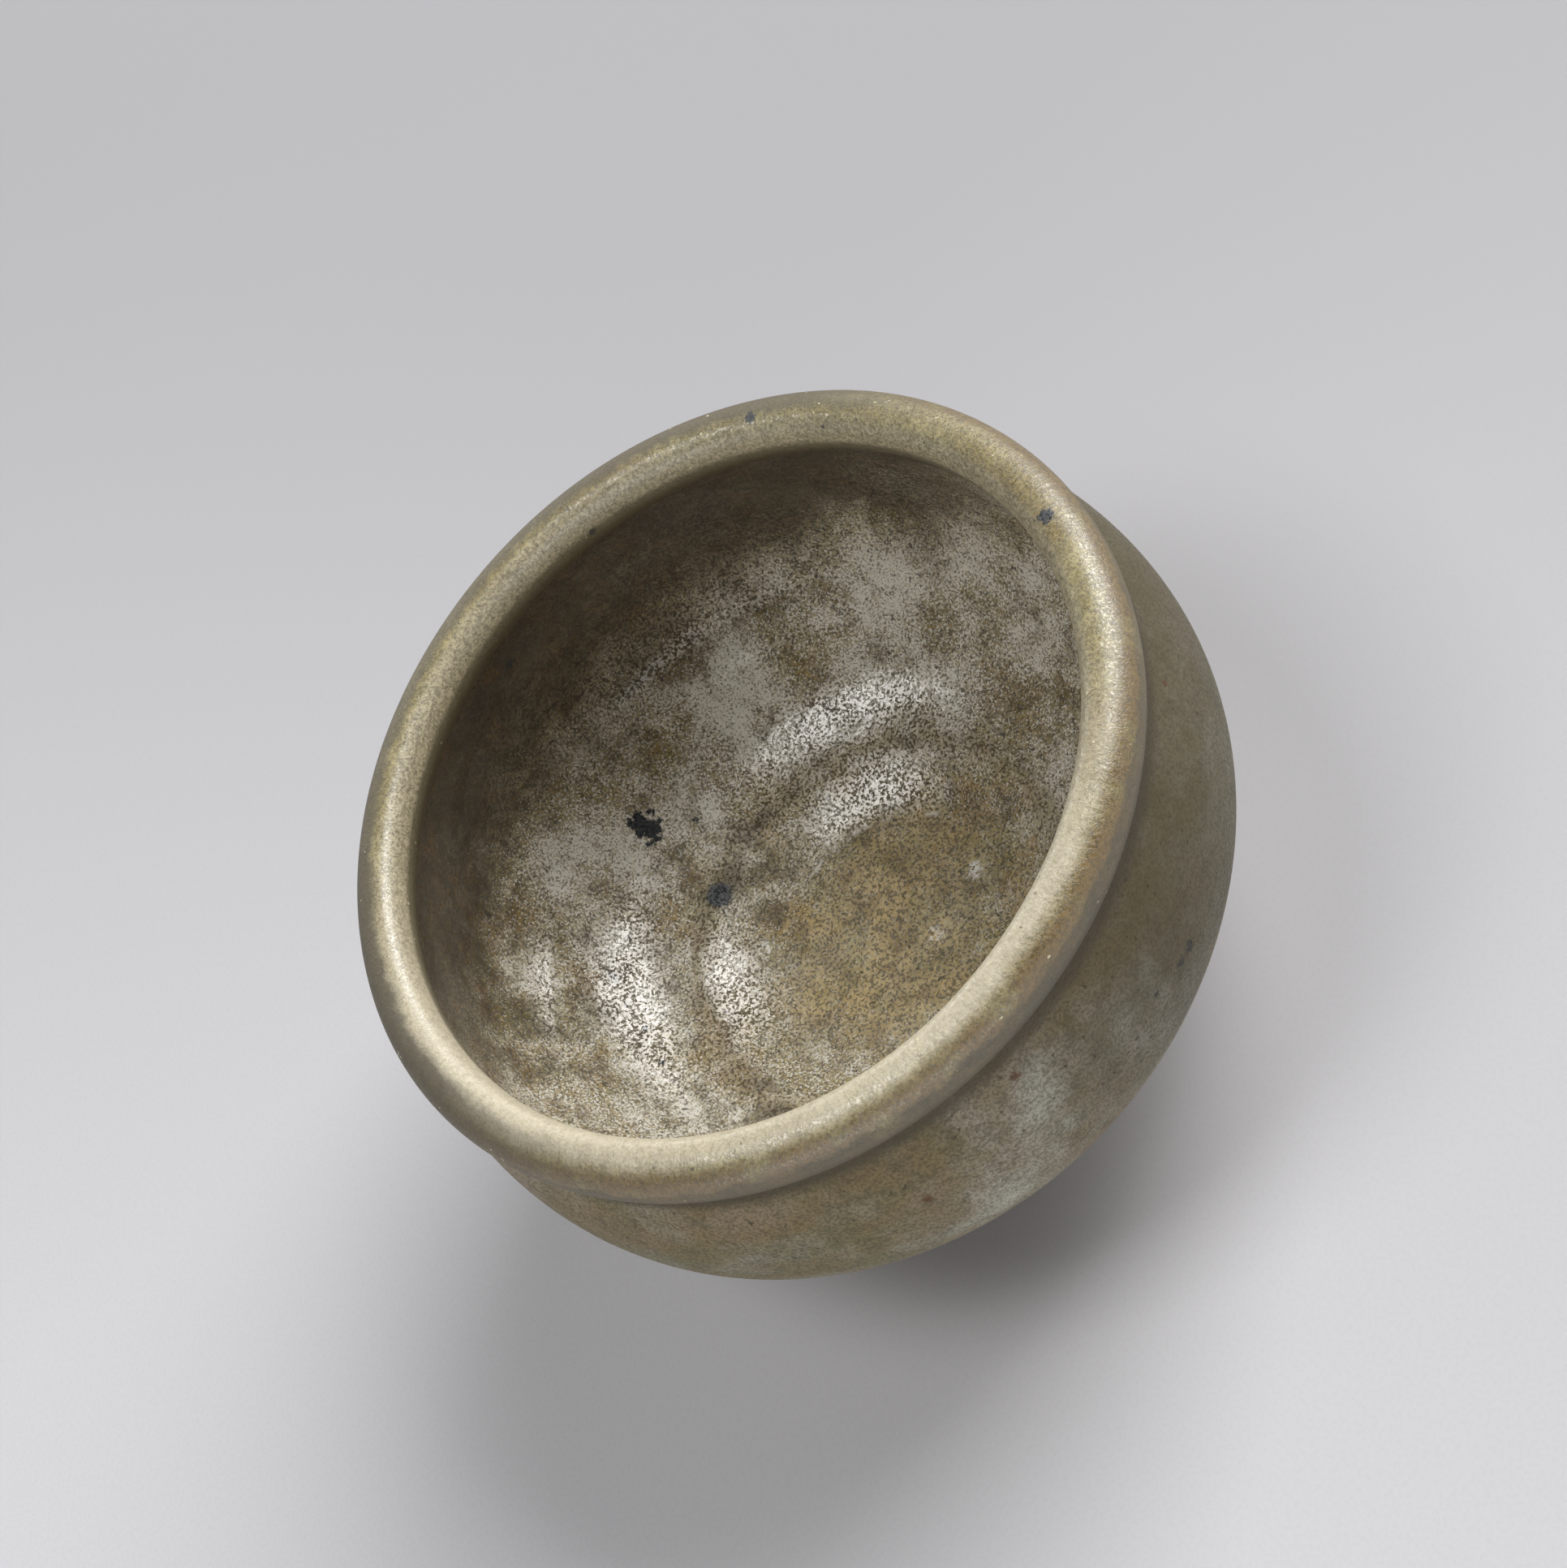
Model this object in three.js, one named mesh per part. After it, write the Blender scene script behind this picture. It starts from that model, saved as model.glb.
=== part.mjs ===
// A small thrown stoneware bowl with a rolled lip, a luted foot ring and an ash glaze.
// Millimetres, +Z up. The origin is the centre of the foot's resting face.
import * as THREE from "three";

// Lip
const rimHeight = 62; // foot's resting face to the crown of the lip
const lipMidRadius = 48.8; // bowl's axis to the middle of the lip's bead
const lipHalfWidth = 3.5; // half the bead, measured across the rim
const lipRise = 3.7; // the bead's middle to its crown
const lipFall = 5.1; // the bead's middle to where its underside would close
const lipTurnUnder = 48; // degrees that the bead turns below its middle, on each side
const lipLean = 0.6; // how far the crown leans inwards
const lipLeanUneven = 0.5; // it leans this share more on one side, and less on the other
const lipLeanSide = 150; // the side where it leans most, in degrees from +X towards +Y

// Outside of the glazed bowl
const bellyRadius = 54.4; // widest radius
const bellyHeight = 37.8; // height of that widest circle
const bellyDepth = 36.1; // from the widest circle to where the outside would close
const shoulderFullness = 2.2; // higher keeps the shoulder full for longer before it draws in
const throatHeight = 2.2; // upright band under the bead, where the finger ran round

// Cavity
const wallAtBelly = 5; // glazed wall at the widest circle
const cavityDepth = 28; // from the widest circle to where the cavity's wall would close
const poolRadius = 16; // shallow pool in the middle of the floor
const poolDepth = 0.6;
const poolFlatness = 3; // higher keeps the pool level for longer before its edge rises

// Throwing marks on the inside: rounded finger grooves with a narrow ridge between them
const markPitch = 20; // ridge to ridge, up the wall
const markHeight = 1.1; // groove to ridge
const markFirst = 10.9; // edge of the pool to the first ridge, up the wall
const markBluntness = 0.12; // 0 would make the ridges sharp
const markSway = 1.4; // the rings lie this far off centre
const markSwaySide = 190; // the side that they are shifted to, in degrees from +X towards +Y
const markStart = 4; // the grooves grow over this much radius outside the pool
const markFull = 18; // above this height they begin to die out
const markGone = 42; // above this height the wall is smooth

// Foot
const footOuterRadius = 26; // at its root
const footHeight = 5.6;
const footTaper = 1.2; // how much narrower the ring is at its resting face
const footRimWidth = 6;
const footBevel = 0.9;
const buttonRadius = 6; // low turned cone under the floor, inside the foot
const buttonHeight = 1.2;

// Layers
const glaze = 0.6; // thickness of the fired glaze
const seam = 0.3; // joint between two layers, or between two pieces of clay
const glazeLineHeight = 9.5; // the outside glaze stops at this height

// Facets
const aroundSteps = 56;
const cavitySteps = 24; // up the visible side of the inner glaze
const cavityCrowding = 1.6; // higher sets more of those steps near the floor
const poolSteps = 3;
const bellySteps = 10; // up the visible side of the outer glaze, below the widest circle
const shoulderSteps = 6;
const beadSteps = 12;
const coveredSteps = 6; // along each face that another layer covers
const coveredShoulderSteps = 2;

const layer = glaze + seam;
const turnUnder = THREE.MathUtils.degToRad(lipTurnUnder);
const lipMidHeight = rimHeight - lipRise;
const lipFootHeight = lipMidHeight - lipFall * Math.sin(turnUnder);
const wallTop = lipFootHeight - seam;
const throatInner = lipMidRadius - lipHalfWidth * Math.cos(turnUnder);
const throatOuter = lipMidRadius + lipHalfWidth * Math.cos(turnUnder);
const cavityRadius = bellyRadius - wallAtBelly;
const poolEdgeHeight = bellyHeight - cavityDepth * Math.sqrt(1 - (poolRadius / cavityRadius) ** 2);

const finish = (color, roughness) => new THREE.MeshStandardMaterial({ color, roughness, metalness: 0 });
const stoneware = finish(0x6f6558, 0.9);
const footStoneware = finish(0x7a5a44, 0.95);
const innerAshGlaze = finish(0x7b7263, 0.32);
const lipAshGlaze = finish(0x98906c, 0.35);
const outerAshGlaze = finish(0x7a715c, 0.45);

const point = (radius, height) => new THREE.Vector2(radius, height);
const steps = (count, from, to) =>
  Array.from({ length: count + 1 }, (_, i) => from + ((to - from) * i) / count);
const closed = (profile) => [...profile, profile[0].clone()];

// The bead's section, drawn inwards by an inset, from the outside over the crown to the inside.
function beadProfile(inset) {
  return steps(beadSteps, -turnUnder, Math.PI + turnUnder).map((angle) => {
    const reach = Math.sin(angle) < 0 ? lipFall : lipRise;
    return point(
      lipMidRadius + (lipHalfWidth - inset) * Math.cos(angle),
      lipMidHeight + (reach - inset) * Math.sin(angle),
    );
  });
}

// The outside below the widest circle, rising along an ellipse from a given height.
function undersideProfile(count, fromHeight, inset) {
  const lowest = Math.asin((bellyHeight - fromHeight) / (bellyDepth - inset));
  return steps(count, lowest, 0).map((angle) =>
    point((bellyRadius - inset) * Math.cos(angle), bellyHeight - (bellyDepth - inset) * Math.sin(angle)),
  );
}

// The outside above the widest circle: a full shoulder, drawn in to the upright throat under the bead.
function shoulderProfile(count, inset) {
  const throatFoot = wallTop - throatHeight;
  const rising = steps(count, 0, 1).slice(1).map((rise) => point(
    THREE.MathUtils.lerp(bellyRadius, throatOuter, rise ** shoulderFullness) - inset,
    THREE.MathUtils.lerp(bellyHeight, throatFoot, rise),
  ));
  return [...rising, point(throatOuter - inset, wallTop)];
}

// The inside at a height: an ellipse below the widest circle, and above it a gentle curve in to the throat.
function cavityPoint(height, inset) {
  const rise = Math.max(0, (height - bellyHeight) / (wallTop - bellyHeight));
  const sink = Math.max(0, (bellyHeight - height) / (cavityDepth + inset));
  const radius = (cavityRadius + inset) * Math.sqrt(1 - sink ** 2);
  return point(radius - (cavityRadius - throatInner) * rise ** 2, height);
}

// The inside from the middle of the floor, over the edge of the pool and up the wall to the throat.
function cavityProfile(count, inset) {
  const edge = poolEdgeHeight - inset;
  const pool = steps(poolSteps, 0, 1).slice(0, -1).map((share) =>
    point(poolRadius * share, edge - poolDepth * (1 - share ** poolFlatness)),
  );
  const wall = steps(count, 0, 1).map((share) =>
    cavityPoint(THREE.MathUtils.lerp(edge, wallTop, share ** cavityCrowding), inset),
  );
  return [...pool, ...wall];
}

// How far the throwing marks stand proud of the cavity: narrow rings between wide grooves.
function throwingMark(radius, height, turn) {
  const climb = Math.hypot(radius - poolRadius, height - poolEdgeHeight);
  const ridge = markFirst + markSway * Math.cos(turn - THREE.MathUtils.degToRad(markSwaySide));
  const wave = Math.sin((Math.PI * (climb - ridge)) / markPitch);
  const groove = Math.hypot(wave, markBluntness) / Math.hypot(1, markBluntness);
  const start = THREE.MathUtils.smoothstep(radius, poolRadius, poolRadius + markStart);
  const end = 1 - THREE.MathUtils.smoothstep(height, markFull, markGone);
  return markHeight * start * end * (1 - groove);
}

// Turns a profile about the axis. It runs up the outside of the piece and back down its inside.
function turned(name, profile, material) {
  const geometry = new THREE.LatheGeometry(profile, aroundSteps).rotateX(Math.PI / 2);
  const mesh = new THREE.Mesh(geometry, material);
  mesh.name = name;
  return mesh;
}

// Moves the vertices of a mesh, each by what a function of the vertex says.
function shaped(mesh, shift) {
  const place = mesh.geometry.getAttribute("position");
  const vertex = new THREE.Vector3();
  for (let i = 0; i < place.count; i += 1) {
    vertex.fromBufferAttribute(place, i);
    vertex.add(shift(vertex));
    place.setXYZ(i, vertex.x, vertex.y, vertex.z);
  }
  return mesh;
}

// The throwing marks, raised on every vertex that lies on the cavity's own surface, outside the pool.
function markShift({ x, y, z }) {
  const radius = Math.hypot(x, y);
  const onSurface = Math.abs(radius - cavityPoint(z, 0).x) < glaze / 2;
  const amount = radius >= poolRadius && onSurface ? throwingMark(radius, z, Math.atan2(y, x)) : 0;
  return new THREE.Vector3(-x, -y, Math.max(0, bellyHeight - z)).normalize().multiplyScalar(amount);
}

// The lip's lean: what lies above the bead's middle moves inwards, the crown furthest.
function leanShift({ x, y, z }) {
  const rise = Math.max(0, (z - lipMidHeight) / lipRise);
  const side = Math.cos(Math.atan2(y, x) - THREE.MathUtils.degToRad(lipLeanSide));
  const lean = lipLean * (1 + lipLeanUneven * side) * rise ** 2;
  return new THREE.Vector3(-x, -y, 0).normalize().multiplyScalar(lean);
}

// Floor and wall, thrown in one piece of clay.
function bowlBody() {
  const underFloor = footHeight + seam;
  return turned("bowl_body", [
    point(0, underFloor - buttonHeight),
    point(buttonRadius, underFloor),
    point(footOuterRadius, underFloor),
    ...undersideProfile(coveredSteps, glazeLineHeight - seam, layer),
    ...shoulderProfile(coveredShoulderSteps, layer),
    ...cavityProfile(coveredSteps, layer).reverse(),
  ], stoneware);
}

// The lip, a bead of clay whose flat foot sits on the wall's top edge.
function rolledLip() {
  const bead = turned("rolled_lip", closed([
    point(throatOuter - layer, lipFootHeight),
    ...beadProfile(layer),
    point(throatInner + layer, lipFootHeight),
  ]), stoneware);
  return shaped(bead, leanShift);
}

// The foot, a ring of clay luted on under the floor.
function footRing() {
  const well = footOuterRadius - footRimWidth;
  const rest = footOuterRadius - footTaper;
  return turned("foot_ring", closed([
    point(rest - footBevel, 0),
    point(rest, footBevel),
    point(footOuterRadius, footHeight),
    point(well, footHeight),
    point(well, footBevel),
    point(well + footBevel, 0),
  ]), footStoneware);
}

// Glaze poured over the inside, up to the throat.
function innerGlaze() {
  const back = cavityProfile(coveredSteps, glaze);
  const face = cavityProfile(cavitySteps, 0);
  return shaped(turned("inner_glaze", [...back, ...face.reverse()], innerAshGlaze), markShift);
}

// Glaze over the bead, from the throat outside to the throat inside.
function lipGlaze() {
  const face = beadProfile(0);
  const back = beadProfile(glaze);
  return shaped(turned("lip_glaze", closed([...face, ...back.reverse()]), lipAshGlaze), leanShift);
}

// Glaze on the outside, from its line above the foot up to the throat.
function outerGlaze() {
  const face = [...undersideProfile(bellySteps, glazeLineHeight, 0), ...shoulderProfile(shoulderSteps, 0)];
  const back = [
    ...undersideProfile(coveredSteps, glazeLineHeight, glaze),
    ...shoulderProfile(coveredShoulderSteps, glaze),
  ];
  return turned("outer_glaze", closed([...face, ...back.reverse()]), outerAshGlaze);
}

const bowl = new THREE.Group();
bowl.add(bowlBody(), rolledLip(), footRing(), innerGlaze(), lipGlaze(), outerGlaze());
export default bowl;
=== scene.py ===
"""Looks of a small footed stoneware bowl with a rolled lip and a mottled wood-ash glaze."""
import logging
import math
from dataclasses import dataclass
from enum import Enum
from typing import Sequence

import bmesh
import bpy
import numpy as np
from mathutils import Matrix, Vector


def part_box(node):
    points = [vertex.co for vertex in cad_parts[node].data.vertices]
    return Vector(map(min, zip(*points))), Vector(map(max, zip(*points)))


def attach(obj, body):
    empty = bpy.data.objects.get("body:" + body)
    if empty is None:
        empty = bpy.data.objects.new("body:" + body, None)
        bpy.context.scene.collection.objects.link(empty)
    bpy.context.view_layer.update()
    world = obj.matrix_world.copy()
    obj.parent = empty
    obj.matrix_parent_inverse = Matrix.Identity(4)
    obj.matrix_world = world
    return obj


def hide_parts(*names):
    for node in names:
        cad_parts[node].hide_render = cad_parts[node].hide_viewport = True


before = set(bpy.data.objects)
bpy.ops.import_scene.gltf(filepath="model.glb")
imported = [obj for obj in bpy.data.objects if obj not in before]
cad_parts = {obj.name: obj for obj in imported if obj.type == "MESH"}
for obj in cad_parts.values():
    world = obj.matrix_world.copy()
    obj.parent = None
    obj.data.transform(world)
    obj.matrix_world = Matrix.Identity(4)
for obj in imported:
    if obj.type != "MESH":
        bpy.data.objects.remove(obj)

log = logging.getLogger("bowl")

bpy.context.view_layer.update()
MM = 0.001  # metres in a millimetre
BODY = "root"

AROUND = 320  # steps round the bowl in each fine mesh
SEAM_CREASE = math.radians(38)  # faces that meet more sharply than this keep a hard edge
ON_AXIS = 1e-7  # metres; points that lie this near to the axis are welded into one
STREAK_RADIUS = 50.0  # millimetres; the radius at which a streak has its stated length
MIX_BELOW, MIX_ABOVE, MIXED = 6, 7, 2  # a colour mix's sockets, by number because their names repeat

Section = tuple[np.ndarray, np.ndarray]  # radius and height, in millimetres
Socket = bpy.types.NodeSocket
Outputs = bpy.types.NodeOutputs


class Slot(Enum):
    """The bowl's material slots."""

    CLAY = "stoneware"
    FOOT = "foot_stoneware"
    INNER = "inner_ash_glaze"
    LIP = "lip_ash_glaze"
    OUTER = "outer_ash_glaze"


def linear(colour: str) -> tuple[float, float, float, float]:
    """Turns an sRGB hex colour linear.

    Args:
        colour: the colour as "#rrggbb".

    Returns:
        Linear red, green and blue, with an alpha of 1.
    """
    channels = [int(colour[i : i + 2], 16) / 255 for i in (1, 3, 5)]
    red, green, blue = (c / 12.92 if c <= 0.04045 else ((c + 0.055) / 1.055) ** 2.4 for c in channels)
    return red, green, blue, 1.0


def smooth_step(value: np.ndarray, low: float, high: float) -> np.ndarray:
    """Rises smoothly from 0 where value is low to 1 where it is high."""
    share = np.clip((value - low) / (high - low), 0, 1)
    return share * share * (3 - 2 * share)


@dataclass(frozen=True)
class BowlForm:
    """The bowl's turned outline in millimetres. What the frame holds is read from it."""

    rim_height: float
    lip_outer: float
    belly_radius: float
    glaze_line: float
    foot_outer: float
    foot_height: float
    lip_half_width: float = 3.5
    lip_rise: float = 3.7  # the bead's middle to its crown
    lip_fall: float = 5.1  # its middle to where its underside would close
    turn_under: float = math.radians(48)  # how far it turns below its middle, on each side
    lip_lean: float = 0.6  # how far the crown leans inwards
    lip_lean_uneven: float = 0.5  # it leans by this share more on one side
    lip_lean_side: float = math.radians(150)
    belly_height: float = 37.8
    belly_depth: float = 36.1  # from the widest circle to where the outside would close
    shoulder_fullness: float = 2.2
    throat_height: float = 2.2
    throat_fillet: float = 1.3
    fillet_steps: int = 9  # shifted outlines, whose mean eases the corner under the shoulder
    wall_at_belly: float = 5.0
    cavity_depth: float = 28.0  # from the widest circle to where the inside's wall would close
    pool_radius: float = 16.0
    pool_depth: float = 0.6
    pool_flatness: float = 3.0
    coat: float = 0.9  # the glaze and the joint under it

    @classmethod
    def from_frame(cls) -> "BowlForm":
        """Reads the sizes that the CAD nodes' boxes give.

        Returns:
            The form, with its other sizes as they stand above.
        """
        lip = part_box("lip_glaze")[1] / MM
        outside = [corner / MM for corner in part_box("outer_glaze")]
        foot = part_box("foot_ring")[1] / MM
        return cls(lip.z, lip.x, outside[1].x, outside[0].z, foot.x, foot.z)

    @property
    def lip_mid_radius(self) -> float:
        """The radius of the middle of the bead."""
        return self.lip_outer - self.lip_half_width

    @property
    def lip_mid_height(self) -> float:
        """The height of the middle of the bead."""
        return self.rim_height - self.lip_rise

    @property
    def lip_foot(self) -> float:
        """The height at which the bead ends on both sides."""
        return self.lip_mid_height - self.lip_fall * math.sin(self.turn_under)

    @property
    def throat_outer(self) -> float:
        """The radius of the throat outside."""
        return self.lip_mid_radius + self.lip_half_width * math.cos(self.turn_under)

    @property
    def throat_inner(self) -> float:
        """The radius of the throat inside."""
        return self.lip_mid_radius - self.lip_half_width * math.cos(self.turn_under)

    @property
    def cavity_radius(self) -> float:
        """The widest radius of the inside."""
        return self.belly_radius - self.wall_at_belly

    @property
    def pool_edge(self) -> float:
        """The height of the pool's edge."""
        depth = self.cavity_depth * math.sqrt(1 - (self.pool_radius / self.cavity_radius) ** 2)
        return self.belly_height - depth

    def bead(self, angle: np.ndarray, inset: float) -> Section:
        """The bead's section at each step round. Its upper half leans inwards, more on one side.

        Args:
            angle: where on the section, 0 outside and a quarter turn at the crown.
            inset: how far it is drawn in.

        Returns:
            Radius and height, one row for each step round.
        """
        reach = np.where(np.sin(angle) < 0, self.lip_fall, self.lip_rise) - inset
        radius = self.lip_mid_radius + (self.lip_half_width - inset) * np.cos(angle)
        height = (self.lip_mid_height + reach * np.sin(angle)) * np.ones((AROUND, 1))
        rise = np.clip((height - self.lip_mid_height) / self.lip_rise, 0, 1)
        lean = self.lip_lean * (1 + self.lip_lean_uneven * np.cos(turns() - self.lip_lean_side))
        return radius - lean * rise**2, height

    def outside(self, height: np.ndarray, inset: np.ndarray | float) -> np.ndarray:
        """The outside's radius at a height, with the corner under the shoulder eased.

        Args:
            height: the heights to read.
            inset: how far the surface is drawn in.

        Returns:
            The radius at each height.
        """
        sink = np.clip((self.belly_height - height) / (self.belly_depth - inset), 0, 1)
        below = (self.belly_radius - inset) * np.sqrt(1 - sink**2)
        throat_foot = self.lip_foot - self.throat_height
        draw_in = (self.belly_radius - self.throat_outer) / self.fillet_steps
        eased = np.zeros_like(below)
        for shift in np.linspace(-self.throat_fillet, self.throat_fillet, self.fillet_steps):
            rise = np.clip((height + shift - self.belly_height) / (throat_foot - self.belly_height), 0, 1)
            eased += draw_in * rise**self.shoulder_fullness
        fade = smooth_step(height, self.belly_height, self.belly_height + 2 * self.throat_fillet)
        return below - eased * fade

    def cavity(self, height: np.ndarray, inset: float) -> np.ndarray:
        """The inside's radius at a height above the pool's edge.

        Args:
            height: the heights to read.
            inset: how far the surface lies behind the glaze's face.

        Returns:
            The radius at each height.
        """
        rise = np.clip((height - self.belly_height) / (self.lip_foot - self.belly_height), 0, 1)
        sink = np.clip((self.belly_height - height) / (self.cavity_depth + inset), 0, 1)
        radius = (self.cavity_radius + inset) * np.sqrt(1 - sink**2)
        return radius - (self.cavity_radius - self.throat_inner) * rise**2


def turns() -> np.ndarray:
    """The angle of each step round the bowl, as a column."""
    return np.linspace(0, 2 * np.pi, AROUND, endpoint=False)[:, None]


def wavering(waves: Sequence[tuple[float, int, float]]) -> np.ndarray:
    """Adds up several waves that run round the bowl.

    Args:
        waves: each wave's share, how often it goes round, and its phase.

    Returns:
        A column with a value for each step round.
    """
    return sum(share * np.sin(count * turns() + phase) for share, count, phase in waves)


def all_round(*section: np.ndarray) -> list[np.ndarray]:
    """Repeats a section's radii and heights at each step round."""
    return [row * np.ones((AROUND, 1)) for row in section]


def pressed(radius: np.ndarray, height: np.ndarray, depth: np.ndarray) -> Section:
    """Moves each point of a run of sections along its normal, to the left of the way the section runs.

    Args:
        radius: one row for each step round, one column for each point of the section.
        height: the same for the heights.
        depth: how far each point moves, in millimetres.

    Returns:
        The moved radius and height.
    """
    along_radius = np.gradient(radius, axis=1)
    along_height = np.gradient(height, axis=1)
    length = np.hypot(along_radius, along_height)
    return radius - depth * along_height / length, height + depth * along_radius / length


def in_scene(name: str, data: bpy.types.ID) -> bpy.types.Object:
    """Adds an object to the scene.

    Args:
        name: the object's name.
        data: its mesh, light or camera.

    Returns:
        The new object.
    """
    thing = bpy.data.objects.new(name, data)
    bpy.context.scene.collection.objects.link(thing)
    return thing


def turned_mesh(name: str, radius: np.ndarray, height: np.ndarray, closed: bool) -> bpy.types.Object:
    """Makes a closed turned piece from its sections.

    Args:
        name: the piece's name.
        radius: one row for each step round; the section runs up the outside and back down the inside.
        height: the same for the heights.
        closed: whether the section closes on itself, or else starts and ends on the axis.

    Returns:
        The new object, in metres.
    """
    angle = turns()
    points = np.stack([radius * np.cos(angle), radius * np.sin(angle), height], axis=2) * MM
    count = radius.shape[1]
    here = np.arange(AROUND * count).reshape(AROUND, count)
    beside = np.roll(here, -1, axis=0)
    above = np.roll(here, -1, axis=1)
    across = np.roll(beside, -1, axis=1)
    quads = np.stack([here, beside, across, above], axis=2)
    if not closed:
        quads = quads[:, :-1]
    mesh = bpy.data.meshes.new(name)
    mesh.from_pydata(points.reshape(-1, 3).tolist(), [], quads.reshape(-1, 4).tolist())
    if not closed:
        weld_axis(mesh)
    mesh.shade_smooth()
    mesh.set_sharp_from_angle(angle=SEAM_CREASE)
    return in_scene(name, mesh)


def weld_axis(mesh: bpy.types.Mesh) -> None:
    """Joins the points that lie on the axis into one at each end.

    Args:
        mesh: the mesh to mend.
    """
    work = bmesh.new()
    work.from_mesh(mesh)
    on_axis = [v for v in work.verts if math.hypot(v.co.x, v.co.y) < ON_AXIS]
    bmesh.ops.remove_doubles(work, verts=on_axis, dist=ON_AXIS)
    work.to_mesh(mesh)
    work.free()


def add_node(
    tree: bpy.types.NodeTree, kind: str, settings: dict | None = None, links: dict | None = None
) -> Outputs:
    """Adds a node to a tree.

    Args:
        tree: the material's or the world's tree.
        kind: the node's type.
        settings: its options by attribute name, and its inputs' values by name or number.
        links: the sockets that feed its inputs, by name or number.

    Returns:
        The new node's outputs.
    """
    node = tree.nodes.new(kind)
    for key, value in (settings or {}).items():
        if isinstance(key, str) and hasattr(node, key):
            setattr(node, key, value)
        else:
            node.inputs[key].default_value = value
    for key, source in (links or {}).items():
        tree.links.new(source, node.inputs[key])
    return node.outputs


def fading(start: float, end: float) -> dict:
    """Settings for a range node that rises smoothly from 0 at start to 1 at end."""
    return {"interpolation_type": "SMOOTHSTEP", "From Min": start, "From Max": end}


@dataclass(frozen=True)
class Spot:
    """One spot in the glaze, in millimetres."""

    place: tuple[float, float, float]
    size: float
    ragged: float = 0.3  # how far its edge strays, as a share of its size
    soft: float = 0.35  # the share of its radius over which it fades


class Paint:
    """A material's node tree while it is made. Its patterns are sized in millimetres of the bowl."""

    def __init__(self, name: str) -> None:
        """Starts the tree with the place of each point, its height and its radius.

        Args:
            name: the material's name.
        """
        self.material = bpy.data.materials.new(name)
        self.material.use_nodes = True
        self.tree = self.material.node_tree
        self.tree.nodes.clear()
        metres = self.add("ShaderNodeTexCoord")["Object"]
        enlarge = {"operation": "SCALE", "Scale": 1 / MM}
        self.place = self.add("ShaderNodeVectorMath", enlarge, {0: metres})[0]
        split = self.add("ShaderNodeSeparateXYZ", {}, {0: self.place})
        self.height = split["Z"]
        self.flat = self.add("ShaderNodeCombineXYZ", {}, {"X": split["X"], "Y": split["Y"]})[0]
        self.radius = self.add("ShaderNodeVectorMath", {"operation": "LENGTH"}, {0: self.flat})["Value"]

    def add(self, kind: str, settings: dict | None = None, links: dict | None = None) -> Outputs:
        """Adds a node to this material, as add_node does."""
        return add_node(self.tree, kind, settings, links)

    def mottle(
        self,
        size: float,
        low: float,
        high: float,
        detail: float = 2.0,
        broken: float = 0.5,
        shift: float = 0.0,
        place: Socket | None = None,
        crowd: tuple[Socket, float] | None = None,
    ) -> Socket:
        """Soft patches of about one size.

        Args:
            size: how wide a patch is, in millimetres.
            low: where the noise starts to show.
            high: where it shows in full.
            detail: how many finer layers of noise there are.
            broken: how strong they are.
            shift: moves the pattern on, so that two of one size differ.
            place: the coordinates to use, where they aren't the bowl's own.
            crowd: a mask, and how much it lifts the noise, so that the patches crowd together there.

        Returns:
            A mask from 0 to 1.
        """
        grain = {"Scale": 1 / size, "Detail": detail, "Roughness": broken}
        settings = {"noise_dimensions": "4D", "W": shift, **grain}
        noise = self.add("ShaderNodeTexNoise", settings, {"Vector": place or self.place})["Fac"]
        if crowd:
            lift = {"operation": "MULTIPLY_ADD", 1: crowd[1]}
            noise = self.add("ShaderNodeMath", lift, {0: crowd[0], 2: noise})[0]
        return self.add("ShaderNodeMapRange", fading(low, high), {"Value": noise})[0]

    def strayed(self, value: Socket, size: float, amount: float) -> Socket:
        """A measure that wanders from place to place, so that a band drawn on it has ragged edges.

        Args:
            value: what is measured.
            size: how wide one stray is, in millimetres.
            amount: how far it wanders.

        Returns:
            The wandering value.
        """
        stray = {"operation": "MULTIPLY_ADD", 1: amount}
        wander = self.mottle(size, 0.2, 0.8, detail=5.0, broken=0.6, shift=20.0)
        return self.add("ShaderNodeMath", stray, {0: wander, 2: value})[0]

    def lacking(self, mask: Socket, share: float) -> Socket:
        """A mask that is 1 away from another, and falls by a share where that one rises."""
        fall = {"To Min": 1.0, "To Max": 1 - share}
        return self.add("ShaderNodeMapRange", fall, {"Value": mask})[0]

    def towards(self, azimuth: float) -> Socket:
        """How far each point lies from the axis towards one side of the bowl.

        Args:
            azimuth: the side, in degrees from +X towards +Y.

        Returns:
            The distance in millimetres, below 0 on the far side.
        """
        turn = math.radians(azimuth)
        side = {"operation": "DOT_PRODUCT", 1: (math.cos(turn), math.sin(turn), 0.0)}
        return self.add("ShaderNodeVectorMath", side, {0: self.place})["Value"]

    def band(self, value: Socket, low: float, high: float, soft: float) -> Socket:
        """A mask that is 1 where value lies between low and high. Each edge fades over a width of soft."""
        edges = (fading(low - soft / 2, low + soft / 2), fading(high + soft / 2, high - soft / 2))
        return self.overlap(*(self.add("ShaderNodeMapRange", edge, {"Value": value})[0] for edge in edges))

    def overlap(self, *masks: Socket | float) -> Socket:
        """The product of several masks and shares.

        Args:
            *masks: masks, or plain numbers that weaken them.

        Returns:
            A mask from 0 to 1.
        """
        joined = masks[0]
        for mask in masks[1:]:
            plain = isinstance(mask, (int, float))
            settings = {"operation": "MULTIPLY", **({1: mask} if plain else {})}
            links = {0: joined, **({} if plain else {1: mask})}
            joined = self.add("ShaderNodeMath", settings, links)[0]
        return joined

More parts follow.
